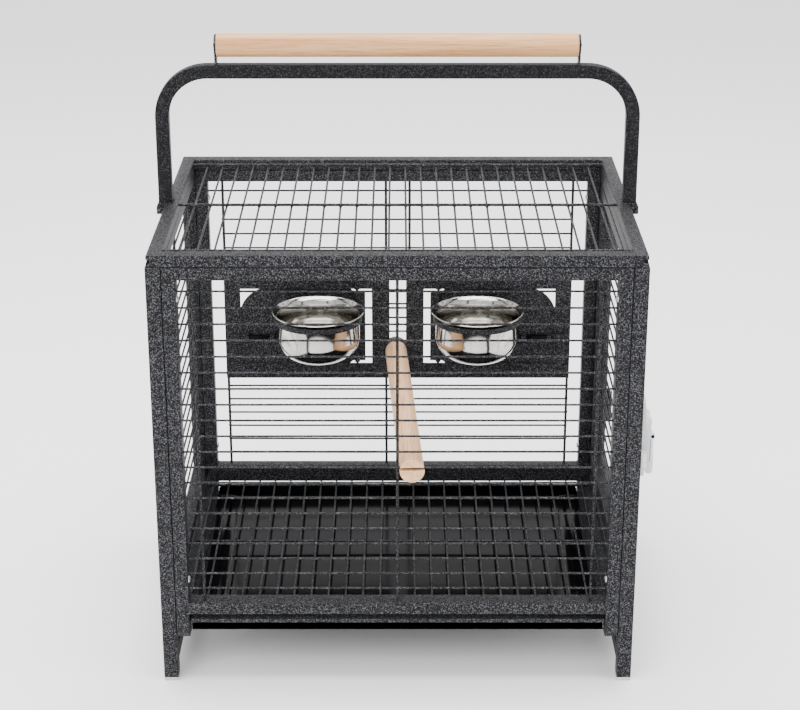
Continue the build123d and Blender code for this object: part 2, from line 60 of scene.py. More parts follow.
def add(tree, kind, inputs=None, stops=(), **settings):
    """Add a node. inputs gives a value, or the output that feeds it, for sockets by name or index.
    stops gives a colour ramp its positions and hex colours."""
    made = tree.nodes.new(kind)
    for key, value in settings.items():
        setattr(made, key, value)
    for key, value in (inputs or {}).items():
        socket = made.inputs[key]
        if isinstance(value, bpy.types.NodeSocket):
            tree.links.new(value, socket)
        else:
            socket.default_value = value
    for position, code in stops[2:]:
        made.color_ramp.elements.new(position)
    for index, (position, code) in enumerate(stops):
        made.color_ramp.elements[index].position = position
        made.color_ramp.elements[index].color = srgb(code)
    return made


def new_finish(name):
    """A material with an empty tree, and the object coordinates its patterns are laid out in."""
    material = bpy.data.materials.new(name)
    material.use_nodes = True
    tree = material.node_tree
    tree.nodes.clear()
    return material, tree, add(tree, "ShaderNodeTexCoord").outputs["Object"]


# ---- finishes: every pattern is laid out in real sizes ----
def hammertone(name, pool_colour, mid_colour, vein_colour):
    """Black powder coat with a silver vein: the metal flake gathers in worm-like flecks between
    matt black pools, so that the surface looks grainy and dark grey from a step away."""
    material, tree, place = new_finish(name)
    fleck_size = 1.05 * MM
    pool_size = 1.35 * MM
    fleck = add(tree, "ShaderNodeTexNoise", {"Vector": place, "Scale": 1 / fleck_size, "Detail": 1.5,
                                             "Roughness": 0.55, "Distortion": 0.7}).outputs[0]
    pool = add(tree, "ShaderNodeTexVoronoi", {"Vector": place, "Scale": 1 / pool_size}).outputs[0]
    nudge = add(tree, "ShaderNodeMapRange", {0: pool, 3: 0.05, 4: -0.05}).outputs[0]
    both = add(tree, "ShaderNodeMath", {0: fleck, 1: nudge}, operation="ADD").outputs[0]
    vein = add(tree, "ShaderNodeMapRange", {0: both, 1: 0.42, 2: 0.68},
               interpolation_type="SMOOTHSTEP").outputs[0]
    colour = add(tree, "ShaderNodeValToRGB", {0: vein},
                 stops=((0.0, pool_colour), (0.5, mid_colour), (1.0, vein_colour))).outputs[0]
    metal = add(tree, "ShaderNodeMapRange", {0: vein, 3: 0.0, 4: 0.35}).outputs[0]
    rough = add(tree, "ShaderNodeMapRange", {0: vein, 3: 0.56, 4: 0.42}).outputs[0]
    bump = add(tree, "ShaderNodeBump", {"Height": both, "Distance": 0.15 * MM, "Strength": 0.5}).outputs[0]
    shader = add(tree, "ShaderNodeBsdfPrincipled",
                 {"Base Color": colour, "Metallic": metal, "Roughness": rough,
                  "Specular IOR Level": 0.12, "Normal": bump})
    add(tree, "ShaderNodeOutputMaterial", {"Surface": shader.outputs[0]})
    return material


def grain_scale(axis, wide, long):
    """Pattern scale for wood: one size across the grain and another along it."""
    sizes = [wide, wide, wide]
    sizes[axis] = long
    return tuple(1 / size for size in sizes)


def beech(name, axis, pale, mid, dark):
    """Lacquered beech dowel: pale warm brown, long fine grain lines, short darker ray flecks."""
    material, tree, place = new_finish(name)
    broad = add(tree, "ShaderNodeMapping",
                {"Vector": place, "Scale": grain_scale(axis, 9 * MM, 280 * MM)})
    band = add(tree, "ShaderNodeTexNoise", {"Vector": broad.outputs[0], "Scale": 1.0, "Detail": 4.0,
                                            "Distortion": 0.6}).outputs[0]
    narrow = add(tree, "ShaderNodeMapping",
                 {"Vector": place, "Scale": grain_scale(axis, 1.3 * MM, 41 * MM)})
    grain = add(tree, "ShaderNodeTexNoise", {"Vector": narrow.outputs[0], "Scale": 1.0, "Detail": 5.0,
                                             "Roughness": 0.65}).outputs[0]
    short = add(tree, "ShaderNodeMapping",
                {"Vector": place, "Scale": grain_scale(axis, 1.1 * MM, 5.3 * MM)})
    rays = add(tree, "ShaderNodeTexVoronoi", {"Vector": short.outputs[0], "Scale": 1.0}).outputs[0]
    base = add(tree, "ShaderNodeValToRGB", {0: band},
               stops=((0.28, dark), (0.5, mid), (0.72, pale))).outputs[0]
    lines = add(tree, "ShaderNodeValToRGB", {0: grain},
                stops=((0.36, "#C79A70"), (0.52, "#FFFFFF"))).outputs[0]
    flecks = add(tree, "ShaderNodeValToRGB", {0: rays},
                 stops=((0.05, "#B98A61"), (0.18, "#FFFFFF"))).outputs[0]
    lined = add(tree, "ShaderNodeMix", {0: 0.55, 6: base, 7: lines}, data_type="RGBA",
                blend_type="MULTIPLY").outputs[2]
    flecked = add(tree, "ShaderNodeMix", {0: 0.35, 6: lined, 7: flecks}, data_type="RGBA",
                  blend_type="MULTIPLY").outputs[2]
    rough = add(tree, "ShaderNodeMapRange", {0: grain, 3: 0.52, 4: 0.38}).outputs[0]
    bump = add(tree, "ShaderNodeBump", {"Height": grain, "Distance": 0.12 * MM, "Strength": 0.5}).outputs[0]
    shader = add(tree, "ShaderNodeBsdfPrincipled",
                 {"Base Color": flecked, "Roughness": rough, "Normal": bump, "Specular IOR Level": 0.3})
    add(tree, "ShaderNodeOutputMaterial", {"Surface": shader.outputs[0]})
    return material


def stainless():
    """Deep-drawn polished stainless steel: mirror bright, with very fine turning lines."""
    material, tree, place = new_finish("polished stainless steel")
    turning = add(tree, "ShaderNodeMapping", {"Vector": place, "Scale": grain_scale(2, 25 * MM, 0.4 * MM)})
    lines = add(tree, "ShaderNodeTexNoise",
                {"Vector": turning.outputs[0], "Scale": 1.0, "Detail": 2.0}).outputs[0]
    smear = add(tree, "ShaderNodeTexNoise",
                {"Vector": place, "Scale": 1 / (28 * MM), "Detail": 3.0}).outputs[0]
    colour = add(tree, "ShaderNodeValToRGB", {0: smear},
                 stops=((0.3, "#A9A6A1"), (0.7, "#C1BFBA"))).outputs[0]
    rough = add(tree, "ShaderNodeMapRange", {0: smear, 3: 0.06, 4: 0.15}).outputs[0]
    bump = add(tree, "ShaderNodeBump",
               {"Height": lines, "Distance": 0.01 * MM, "Strength": 0.35}).outputs[0]
    shader = add(tree, "ShaderNodeBsdfPrincipled",
                 {"Base Color": colour, "Metallic": 1.0, "Roughness": rough, "Normal": bump})
    add(tree, "ShaderNodeOutputMaterial", {"Surface": shader.outputs[0]})
    return material


def tray_enamel():
    """Black gloss baked enamel on thin sheet: deep black, mirror-like, with a slow ripple."""
    material, tree, place = new_finish("black gloss enamel")
    ripple = add(tree, "ShaderNodeTexNoise",
                 {"Vector": place, "Scale": 1 / (165 * MM), "Detail": 1.0}).outputs[0]
    peel = add(tree, "ShaderNodeTexNoise",
               {"Vector": place, "Scale": 1 / (1.1 * MM), "Detail": 2.0}).outputs[0]
    small = add(tree, "ShaderNodeMapRange", {0: peel, 3: 0.0, 4: 0.012}).outputs[0]
    both = add(tree, "ShaderNodeMath", {0: ripple, 1: small}, operation="ADD").outputs[0]
    colour = add(tree, "ShaderNodeValToRGB", {0: peel},
                 stops=((0.3, "#030304"), (0.7, "#070708"))).outputs[0]
    rough = add(tree, "ShaderNodeMapRange", {0: peel, 3: 0.08, 4: 0.14}).outputs[0]
    bump = add(tree, "ShaderNodeBump", {"Height": both, "Distance": 3.0 * MM, "Strength": 0.5}).outputs[0]
    shader = add(tree, "ShaderNodeBsdfPrincipled", {"Base Color": colour, "Roughness": rough,
                                                    "Specular IOR Level": 0.08, "Normal": bump})
    add(tree, "ShaderNodeOutputMaterial", {"Surface": shader.outputs[0]})
    return material


def moulded(name, pale, dark, rough):
    """Paint or moulded plastic with a fine spark-eroded grain."""
    material, tree, place = new_finish(name)
    grit = add(tree, "ShaderNodeTexNoise",
               {"Vector": place, "Scale": 1 / (0.8 * MM), "Detail": 2.0}).outputs[0]
    cloud = add(tree, "ShaderNodeTexNoise",
                {"Vector": place, "Scale": 1 / (17 * MM), "Detail": 2.0}).outputs[0]
    colour = add(tree, "ShaderNodeValToRGB", {0: cloud}, stops=((0.3, dark), (0.7, pale))).outputs[0]
    uneven = add(tree, "ShaderNodeMapRange", {0: grit, 3: rough - 0.05, 4: rough + 0.08}).outputs[0]
    bump = add(tree, "ShaderNodeBump", {"Height": grit, "Distance": 0.08 * MM, "Strength": 0.5}).outputs[0]
    shader = add(tree, "ShaderNodeBsdfPrincipled",
                 {"Base Color": colour, "Roughness": uneven, "Normal": bump})
    add(tree, "ShaderNodeOutputMaterial", {"Surface": shader.outputs[0]})
    return material


def plated(name, pale, dark, rough):
    """Plated or oxidised steel: faint cloudy tone, with the same cloud in its roughness and a fine bump."""
    material, tree, place = new_finish(name)
    cloud = add(tree, "ShaderNodeTexNoise",
                {"Vector": place, "Scale": 1 / (4.5 * MM), "Detail": 3.0}).outputs[0]
    colour = add(tree, "ShaderNodeValToRGB", {0: cloud}, stops=((0.3, dark), (0.7, pale))).outputs[0]
    uneven = add(tree, "ShaderNodeMapRange", {0: cloud, 3: rough, 4: rough + 0.15}).outputs[0]
    bump = add(tree, "ShaderNodeBump", {"Height": cloud, "Distance": 0.05 * MM, "Strength": 0.4}).outputs[0]
    shader = add(tree, "ShaderNodeBsdfPrincipled",
                 {"Base Color": colour, "Metallic": 1.0, "Roughness": uneven, "Normal": bump})
    add(tree, "ShaderNodeOutputMaterial", {"Surface": shader.outputs[0]})
    return material


coat = hammertone("hammertone powder coat", "#080809", "#222225", "#5C5C60")
arch_coat = hammertone("dark hammertone powder coat", "#050506", "#131315", "#3E3E42")
grip_wood = beech("lacquered beech grip", 0, "#D3A677", "#C89868", "#B88557")
perch_wood = beech("lacquered beech perch", 1, "#E3BE98", "#D9B08A", "#CB9D74")
steel = stainless()
enamel = tray_enamel()
latch_paint = moulded("pale grey latch paint", "#D9DADC", "#CDCED1", 0.42)
glide_plastic = moulded("grey polyethylene glide", "#BDBDBD", "#ABABAB", 0.5)
zinc = plated("zinc plated steel", "#C4C4C8", "#A6A7AC", 0.25)
black_oxide = plated("black oxide steel", "#1D1D1F", "#101011", 0.35)
FINISH = {
    "powder_coat": coat,
    "grey_plastic": glide_plastic,
    "latch_grey": latch_paint,
    "zinc_steel": zinc,
    "black_steel": black_oxide,
    "beech": perch_wood,
    "stainless": steel,
    "tray_black": enamel,
}


def finish_cad_nodes():
    """Give every CAD node the finish of its slot."""
    slots = {part["node"]: part["material_slot"] for part in frame["record"]["subparts"]}
    for name, piece in frame["nodes"].items():
        piece.data.materials.clear()
        piece.data.materials.append(FINISH[slots[name]])
    for name, finish in (("grip", grip_wood), ("carry_arch", arch_coat)):
        frame["nodes"][name].data.materials.clear()
        frame["nodes"][name].data.materials.append(finish)


finish_cad_nodes()


# ---- meshes: small helpers ----
def settle(mesh, name, body, slot, *nodes, material=None, smooth=40):
    """Put a finished mesh in the scene: it rides on a body and stands for the named CAD nodes."""
    mesh.name = name
    mesh.materials.clear()
    mesh.materials.append(material or FINISH[slot])
    piece = bpy.data.objects.new(name, mesh)
    bpy.context.scene.collection.objects.link(piece)
    mesh.shade_smooth()
    mesh.set_sharp_from_angle(angle=math.radians(smooth))
    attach(piece, body)
    if nodes:
        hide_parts(*nodes)
    return piece


def evaluated(piece):
    """The plain mesh of an object with its modifiers applied; the object itself is removed."""
    bpy.context.view_layer.update()
    graph = bpy.context.evaluated_depsgraph_get()
    mesh = bpy.data.meshes.new_from_object(piece.evaluated_get(graph))
    bpy.data.objects.remove(piece)
    return mesh


def temporary(data):
    """An object to hang modifiers on, which evaluated() removes again."""
    piece = bpy.data.objects.new("work", data)
    bpy.context.scene.collection.objects.link(piece)
    return piece


def joined(meshes):
    """One mesh from several."""
    work = bmesh.new()
    for mesh in meshes:
        work.from_mesh(mesh)
    out = bpy.data.meshes.new("joined")
    work.to_mesh(out)
    work.free()
    return out


def tidy_normals(mesh):
    """Merge doubled vertices and turn every face outwards."""
    work = bmesh.new()
    work.from_mesh(mesh)
    bmesh.ops.remove_doubles(work, verts=work.verts, dist=0.02 * MM)
    bmesh.ops.recalc_face_normals(work, faces=work.faces)
    work.to_mesh(mesh)
    work.free()
    return mesh


def bevelled(mesh, width, segments=3, angle=35):
    """Round every edge sharper than the angle."""
    piece = temporary(mesh)
    modifier = piece.modifiers.new("edge", "BEVEL")
    modifier.width = width
    modifier.segments = segments
    modifier.limit_method = "ANGLE"
    modifier.angle_limit = math.radians(angle)
    modifier.harden_normals = False
    return evaluated(piece)


def cad_copy(*nodes):
    """A merged copy of CAD meshes, safe to bevel."""
    return tidy_normals(joined([frame["nodes"][name].data for name in nodes]))


def slab(loops, thickness, edge, matrix):
    """A flat shape with holes, drawn in XY and given a thickness, with its edges rounded."""
    curve = bpy.data.curves.new("slab", "CURVE")
    curve.dimensions = "2D"
    curve.fill_mode = "BOTH"
    curve.extrude = thickness / 2 - edge
    curve.bevel_depth = edge
    curve.bevel_resolution = 3
    curve.offset = -edge
    for loop in loops:
        spline = curve.splines.new("POLY")
        spline.points.add(len(loop) - 1)
        for point, (x, y) in zip(spline.points, loop):
            point.co = (x, y, 0, 1)
        spline.use_cyclic_u = True
    mesh = evaluated(temporary(curve))
    mesh.transform(matrix)
    return tidy_normals(mesh)


def box_loop(x0, x1, y0, y1):
    return [(x0, y0), (x1, y0), (x1, y1), (x0, y1)]


def axes(right, up, origin):
    """The matrix that carries X to right, Y to up and Z to their cross product, at origin."""
    right, up = Vector(right), Vector(up)
    out = right.cross(up)
    rows = Matrix((right, up, out)).transposed().to_4x4()
    rows.translation = Vector(origin)
    return rows


def lathe(outline, centre, steps=96):
    """Turn a closed (radius, height) outline round a vertical axis."""
    work = bmesh.new()
    rings = []
    for k in range(steps):
        turn = 2 * math.pi * k / steps
        ring = [work.verts.new((r * math.cos(turn), r * math.sin(turn), z)) for r, z in outline]
        rings.append(ring)
    for k in range(steps):
        one, two = rings[k], rings[(k + 1) % steps]
        for i in range(len(outline) - 1):
            work.faces.new((one[i], two[i], two[i + 1], one[i + 1]))
    bmesh.ops.remove_doubles(work, verts=work.verts, dist=0.02 * MM)
    bmesh.ops.dissolve_degenerate(work, edges=work.edges, dist=0.001 * MM)
    bmesh.ops.recalc_face_normals(work, faces=work.faces)
    mesh = bpy.data.meshes.new("turned")
    work.to_mesh(mesh)
    work.free()
    mesh.transform(Matrix.Translation(centre))
    return mesh


# ---- geometry node trees ----
def new_tree(name, **sizes):
    """A geometry tree with a named input for each size."""
    tree = bpy.data.node_groups.new(name, "GeometryNodeTree")
    tree.interface.new_socket("Geometry", in_out="INPUT", socket_type="NodeSocketGeometry")
    for label, kind in sizes.items():
        tree.interface.new_socket(label, in_out="INPUT", socket_type="NodeSocket" + kind)
    tree.interface.new_socket("Geometry", in_out="OUTPUT", socket_type="NodeSocketGeometry")
    return tree, add(tree, "NodeGroupInput")


def close_tree(tree, start, geometry):
    """Real geometry, the material, and the way out."""
    real = add(tree, "GeometryNodeRealizeInstances", {0: geometry})
    painted = add(tree, "GeometryNodeSetMaterial", {"Geometry": real.outputs[0],
                                                    "Material": start.outputs["Material"]})
    add(tree, "NodeGroupOutput", {0: painted.outputs[0]})
    return tree


def wire_row_tree():
    """Drawn wires side by side: each is very slightly bent, as welded mesh is."""
    tree, start = new_tree("wire row", Count="Int", Pitch="Float", Length="Float", Radius="Float",
                           Wander="Float", Seed="Int", Material="Material")
    half = add(tree, "ShaderNodeMath", {0: start.outputs["Length"], 1: 0.5}, operation="MULTIPLY")
    less = add(tree, "ShaderNodeMath", {0: half.outputs[0], 1: -1.0}, operation="MULTIPLY")
    one = add(tree, "ShaderNodeCombineXYZ", {0: less.outputs[0]})
    two = add(tree, "ShaderNodeCombineXYZ", {0: half.outputs[0]})
    line = add(tree, "GeometryNodeCurvePrimitiveLine", {"Start": one.outputs[0], "End": two.outputs[0]})
    step = add(tree, "ShaderNodeCombineXYZ", {1: start.outputs["Pitch"]})
    places = add(tree, "GeometryNodeMeshLine", {"Count": start.outputs["Count"], "Offset": step.outputs[0]},
                 mode="OFFSET")
    copies = add(tree, "GeometryNodeInstanceOnPoints",
                 {"Points": places.outputs[0], "Instance": line.outputs[0]})
    real = add(tree, "GeometryNodeRealizeInstances", {0: copies.outputs[0]})
    fine = add(tree, "GeometryNodeResampleCurve", {"Curve": real.outputs[0], "Count": 22})
    where = add(tree, "GeometryNodeInputPosition")
    noise = add(tree, "ShaderNodeTexNoise", {"Vector": where.outputs[0], "W": start.outputs["Seed"],
                                             "Scale": 7.0, "Detail": 1.0}, noise_dimensions="4D")
    middle = add(tree, "ShaderNodeVectorMath", {0: noise.outputs["Color"], 1: (0.5, 0.5, 0.5)},
                 operation="SUBTRACT")
    shift = add(tree, "ShaderNodeVectorMath", {0: middle.outputs[0], "Scale": start.outputs["Wander"]},
                operation="SCALE")
    flat = add(tree, "ShaderNodeVectorMath", {0: shift.outputs[0], 1: (0.0, 1.0, 1.0)},
               operation="MULTIPLY")
    bent = add(tree, "GeometryNodeSetPosition", {"Geometry": fine.outputs[0], "Offset": flat.outputs[0]})
    ring = add(tree, "GeometryNodeCurvePrimitiveCircle",
               {"Resolution": 10, "Radius": start.outputs["Radius"]})
    bar = add(tree, "GeometryNodeCurveToMesh", {"Curve": bent.outputs[0], "Profile Curve": ring.outputs[0],
                                                "Fill Caps": True})
    return close_tree(tree, start, bar.outputs[0])


def weld_tree():
    """Small melted nuggets on the given points, each turned and sized a little differently."""
    tree, start = new_tree("weld nuggets", Size="Float", Spread="Float", Seed="Int", Material="Material")
    nugget = add(tree, "GeometryNodeMeshIcoSphere", {"Radius": start.outputs["Size"], "Subdivisions": 2})
    low = add(tree, "ShaderNodeMath", {0: 1.0, 1: start.outputs["Spread"]}, operation="SUBTRACT")
    high = add(tree, "ShaderNodeMath", {0: 1.0, 1: start.outputs["Spread"]}, operation="ADD")
    turn = add(tree, "FunctionNodeRandomValue", {0: (0.0, 0.0, 0.0), 1: (6.28, 6.28, 6.28),
                                                 "Seed": start.outputs["Seed"]}, data_type="FLOAT_VECTOR")
    size = add(tree, "FunctionNodeRandomValue", {2: low.outputs[0], 3: high.outputs[0],
                                                 "Seed": start.outputs["Seed"]}, data_type="FLOAT")
    copies = add(tree, "GeometryNodeInstanceOnPoints",
                 {"Points": start.outputs["Geometry"], "Instance": nugget.outputs[0],
                  "Rotation": turn.outputs[0], "Scale": size.outputs[1]})
    return close_tree(tree, start, copies.outputs[0])


def screw_tree():
    """Pan head screws with a cross recess, each on a point and facing along its 'facing' attribute."""
    tree, start = new_tree("pan head screws", Radius="Float", Height="Float", Seed="Int",
                           Material="Material")
    ball = add(tree, "GeometryNodeMeshUVSphere", {"Segments": 24, "Rings": 12, "Radius": 1.0})
    size = add(tree, "ShaderNodeCombineXYZ", {0: start.outputs["Radius"], 1: start.outputs["Radius"],
                                              2: start.outputs["Height"]})
    head = add(tree, "GeometryNodeTransform", {"Geometry": ball.outputs[0], "Scale": size.outputs[0]})
    long_side = add(tree, "ShaderNodeMath", {0: start.outputs["Radius"], 1: 1.1}, operation="MULTIPLY")
    short_side = add(tree, "ShaderNodeMath", {0: start.outputs["Radius"], 1: 0.24}, operation="MULTIPLY")
    deep = add(tree, "ShaderNodeMath", {0: start.outputs["Height"], 1: 1.1}, operation="MULTIPLY")
    lift = add(tree, "ShaderNodeCombineXYZ", {2: start.outputs["Height"]})
    first = add(tree, "ShaderNodeCombineXYZ", {0: long_side.outputs[0], 1: short_side.outputs[0],
                                               2: deep.outputs[0]})
    second = add(tree, "ShaderNodeCombineXYZ", {0: short_side.outputs[0], 1: long_side.outputs[0],
                                                2: deep.outputs[0]})
    one = add(tree, "GeometryNodeMeshCube", {"Size": first.outputs[0]})
    two = add(tree, "GeometryNodeMeshCube", {"Size": second.outputs[0]})
    slots = add(tree, "GeometryNodeJoinGeometry")
    tree.links.new(one.outputs[0], slots.inputs[0])
    tree.links.new(two.outputs[0], slots.inputs[0])
    raised = add(tree, "GeometryNodeTransform",
                 {"Geometry": slots.outputs[0], "Translation": lift.outputs[0]})
    cut = add(tree, "GeometryNodeMeshBoolean", {0: head.outputs[0], 1: raised.outputs[0]},
              operation="DIFFERENCE")
    facing = add(tree, "GeometryNodeInputNamedAttribute", {0: "facing"}, data_type="FLOAT_VECTOR")
    aim = add(tree, "FunctionNodeAlignRotationToVector", {"Vector": facing.outputs[0]}, axis="Z")
    spin = add(tree, "FunctionNodeRandomValue", {2: 0.0, 3: 1.57, "Seed": start.outputs["Seed"]},
               data_type="FLOAT")
    own = add(tree, "ShaderNodeCombineXYZ", {2: spin.outputs[1]})
    turned = add(tree, "FunctionNodeRotateRotation", {0: aim.outputs[0], 1: own.outputs[0]},
                 rotation_space="LOCAL")
    copies = add(tree, "GeometryNodeInstanceOnPoints",
                 {"Points": start.outputs["Geometry"], "Instance": cut.outputs[0],
                  "Rotation": turned.outputs[0]})
    return close_tree(tree, start, copies.outputs[0])


def points_mesh(points, facings=None):
    """Loose points, each with a direction if one is given."""
    mesh = bpy.data.meshes.new("points")
    mesh.from_pydata([tuple(p) for p in points], [], [])
    if facings:
        way = mesh.attributes.new("facing", "FLOAT_VECTOR", "POINT")
        for item, facing in zip(way.data, facings):
            item.vector = facing
    return mesh


def grown(tree, base=None, **sizes):
    """Run a geometry tree once with its sizes set, and return the plain mesh."""
    piece = temporary(base or bpy.data.meshes.new("seed"))
    modifier = piece.modifiers.new("grow", "NODES")
    modifier.node_group = tree
    sockets = {item.name: item.identifier for item in tree.interface.items_tree if item.in_out == "INPUT"}
    for label, value in sizes.items():
        modifier[sockets[label]] = value
    return evaluated(piece)


WIRE_ROW = wire_row_tree()
NUGGETS = weld_tree()
SCREWS = screw_tree()


# ---- welded frames: tubes that run into one another without a seam ----
def span(name):
    """A CAD node's box as its low and high corners."""
    low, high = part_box(name)
    return Vector(low), Vector(high)


TUBE_EDGE = 1.0 * MM
SEAM = 0.5 * MM          # open joint between a bolted panel and the posts
POST = 15.0 * MM
STILE = 14.0 * MM
RAIL = 13.4 * MM
SILL = 91.0 * MM         # top of the lowest front, back and left rails
DOOR_SILL = 84.0 * MM
FOOT_RAIL = 20.0 * MM    # underside of the bottom side rails
RAIL_UNDER = 442.6 * MM  # underside of the upper rails
PANEL_X = 215.0 * MM     # inner face of the panel stiles
POST_Y = 164.0 * MM      # inner face of the posts


def panel_frame(name):
    """A front or back panel: two stiles that run on below the bottom rail, and two rails."""
    low, high = span(name)
    low.x += SEAM
    high.x -= SEAM
    high.z -= SEAM
    wide = STILE - SEAM
    rail = RAIL - SEAM
    outer = [(low.x, low.z), (low.x, high.z), (high.x, high.z), (high.x, low.z),
             (high.x - wide, low.z), (high.x - wide, SILL - rail), (low.x + wide, SILL - rail),
             (low.x + wide, low.z)]
    inner = box_loop(low.x + wide, high.x - wide, SILL, high.z - rail)
    middle = (0, (low.y + high.y) / 2, 0)
    mesh = slab([outer, inner], high.y - low.y, TUBE_EDGE, axes((1, 0, 0), (0, 0, 1), middle))
    settle(mesh, name.replace("panel_frame", "panel"), "cage", "powder_coat", name)


def side_frames():
    """Left and right: two posts, a top rail, a sill and a bottom rail each."""
    low, high = span("corner_posts")
    y0, y1 = low.y, high.y
    inner_y0, inner_y1 = y0 + POST, y1 - POST
    meshes = []
    for side, sill in ((-1, SILL), (1, DOOR_SILL)):
        outer = [(y0, low.z), (y0, high.z), (y1, high.z), (y1, low.z), (inner_y1, low.z),
                 (inner_y1, FOOT_RAIL), (inner_y0, FOOT_RAIL), (inner_y0, low.z)]
        window = box_loop(inner_y0, inner_y1, sill, high.z - RAIL)
        slot = box_loop(inner_y0, inner_y1, FOOT_RAIL + POST, sill - POST)
        middle = (side * (high.x - POST / 2), 0, 0)
        meshes.append(slab([outer, window, slot], POST, TUBE_EDGE, axes((0, 1, 0), (0, 0, 1), middle)))
    settle(joined(meshes), "side_frames", "cage", "powder_coat", "corner_posts", "left_side_rails",
           "right_side_rails")


def top_frame():
    """The lid frame, with a drain nick in each end of its front and rear rails."""
    low, high = span("top_frame")
    side_tube = 13.5 * MM
    outer = box_loop(low.x, high.x, low.y, high.y)
    inner = box_loop(low.x + side_tube, high.x - side_tube, low.y + POST, high.y - POST)
    middle = (0, 0, (low.z + high.z) / 2)
    mesh = slab([outer, inner], high.z - low.z, TUBE_EDGE, axes((1, 0, 0), (0, 1, 0), middle))
    nick = 4.0 * MM
    nick_reach = 14.0 * MM
    cutters = bmesh.new()
    for x in (low.x, high.x):
        for y in (low.y, high.y):
            place = Matrix.Translation((x, y, low.z + 1.5 * nick))
            size = Matrix.Diagonal((2 * nick, nick_reach, nick, 1))
            bmesh.ops.create_cube(cutters, size=1.0, matrix=place @ size)
    cutter_mesh = bpy.data.meshes.new("nicks")
    cutters.to_mesh(cutter_mesh)
    cutters.free()
    cutter = temporary(cutter_mesh)
    piece = temporary(mesh)
    cut = piece.modifiers.new("nicks", "BOOLEAN")
    cut.object = cutter
    cut.solver = "EXACT"
    mesh = evaluated(piece)
    bpy.data.objects.remove(cutter)
    settle(mesh, "lid_frame", "cage", "powder_coat", "top_frame")


def door_frame():
    """The side door: a deeper rail below and a shallower one above."""
    low, high = span("door_frame")
    foot, head = 20.0 * MM, 13.0 * MM
    outer = box_loop(low.y, high.y, low.z, high.z)
    inner = box_loop(low.y + POST, high.y - POST, low.z + foot, high.z - head)
    middle = ((low.x + high.x) / 2, 0, 0)
    mesh = slab([outer, inner], high.x - low.x, TUBE_EDGE, axes((0, 1, 0), (0, 0, 1), middle))
    settle(mesh, "side_door_frame", "side_door", "powder_coat", "door_frame")


panel_frame("front_panel_frame")
panel_frame("back_panel_frame")
side_frames()
top_frame()
door_frame()


# ---- wire mesh: rows of thin wire, thicker rods across, a weld nugget at every crossing ----
WIRE = 1.1 * MM          # wire and rod radius
ROD = 1.5 * MM
ROD_OUT = 2.35 * MM      # from the wires' plane to the rods'
ROD_SINK = 1.0 * MM      # how far a rod's two ends together sink into the rails
PITCH = 17.03 * MM
FIRST = 106.5 * MM       # lowest wire of the upright meshes
LEVELS = 20
WIRE_WANDER = 0.5 * MM
ROD_WANDER = 0.3 * MM


def row(count, pitch, length, radius, along, step, origin, seed, wander=WIRE_WANDER):
    """Wires along one direction, stepped along another; origin is the middle of the first."""
    mesh = grown(WIRE_ROW, Count=count, Pitch=pitch, Length=length, Radius=radius, Wander=wander, Seed=seed,
                 Material=coat)
    mesh.transform(axes(along, step, origin))
    return mesh


def nuggets(points, seed, size=1.75 * MM):
    """A weld nugget on every point."""
    return grown(NUGGETS, points_mesh(points), Size=size, Spread=0.22, Seed=seed, Material=coat)


X, Y, Z = Vector((1, 0, 0)), Vector((0, 1, 0)), Vector((0, 0, 1))


def upright_panel(y, rod_y, rods, reaches, seed):
    """A front or back mesh. reaches gives, for each level, how far its wire runs either side."""
    length = RAIL_UNDER - SILL + ROD_SINK
    middle = (SILL + RAIL_UNDER) / 2
    meshes = []
    welds = []
    for k, reach in enumerate(reaches):
        z = FIRST + k * PITCH
        meshes.append(row(1, PITCH, 2 * reach, WIRE, X, Z, (0, y, z), seed + k))
        welds += [(x, (y + rod_y) / 2, z) for x in rods if abs(x) <= reach + ROD]
    for k, x in enumerate(rods):
        meshes.append(row(1, PITCH, length, ROD, Z, X, (x, rod_y, middle), seed + 40 + k, ROD_WANDER))
        welds += [(x, rod_y, SILL), (x, rod_y, RAIL_UNDER)]
    meshes.append(nuggets(welds, seed))
    return joined(meshes)


outer_rod = 199.0 * MM
inner_rod = 13.5 * MM
front_y = -174.0 * MM
back_y = 171.0 * MM
front_rods = (-outer_rod, 0.0, outer_rod)
settle(upright_panel(front_y, front_y + ROD_OUT, front_rods, [PANEL_X] * LEVELS, 100),
       "front_mesh", "cage", "powder_coat", "front_grille")
# Seven levels of the back mesh run only between the feeder sheets, and its top wire reaches the stiles.
back_reach = [outer_rod] * LEVELS
back_reach[6:13] = [inner_rod] * 7
back_reach[-1] = PANEL_X
back_rods = (-outer_rod, -inner_rod, inner_rod, outer_rod)
settle(upright_panel(back_y, back_y + ROD_OUT, back_rods, back_reach, 200),
       "back_mesh", "cage", "powder_coat", "back_grille")


def side_mesh(x, rod_x, levels, reach, rods, low, high, seed):
    """A left or door mesh: wires from front to back, rods up and down."""
    length = high - low + ROD_SINK
    middle = (low + high) / 2
    mesh = [row(len(levels), PITCH, 2 * reach, WIRE, Y, Z, (x, 0, FIRST + levels[0] * PITCH), seed)]
    welds = [((x + rod_x) / 2, y, FIRST + k * PITCH) for k in levels for y in rods]
    for k, y in enumerate(rods):
        mesh.append(row(1, PITCH, length, ROD, Z, Y, (rod_x, y, middle), seed + 1 + k, ROD_WANDER))
    mesh.append(nuggets(welds, seed))
    return joined(mesh)


side_x = 238.0 * MM
left_rod_y = 150.0 * MM
door_reach = 147.0 * MM
door_low, door_high = 113.5 * MM, 427.6 * MM
settle(side_mesh(-side_x, -side_x + ROD_OUT, range(LEVELS), POST_Y, (-left_rod_y, 0.0, left_rod_y),
                 SILL, RAIL_UNDER, 300), "left_mesh", "cage", "powder_coat", "left_grille")
settle(side_mesh(side_x, side_x - ROD_OUT, range(1, LEVELS - 1), door_reach, (0.0,),
                 door_low, door_high, 340), "door_mesh", "side_door", "powder_coat", "door_grille")


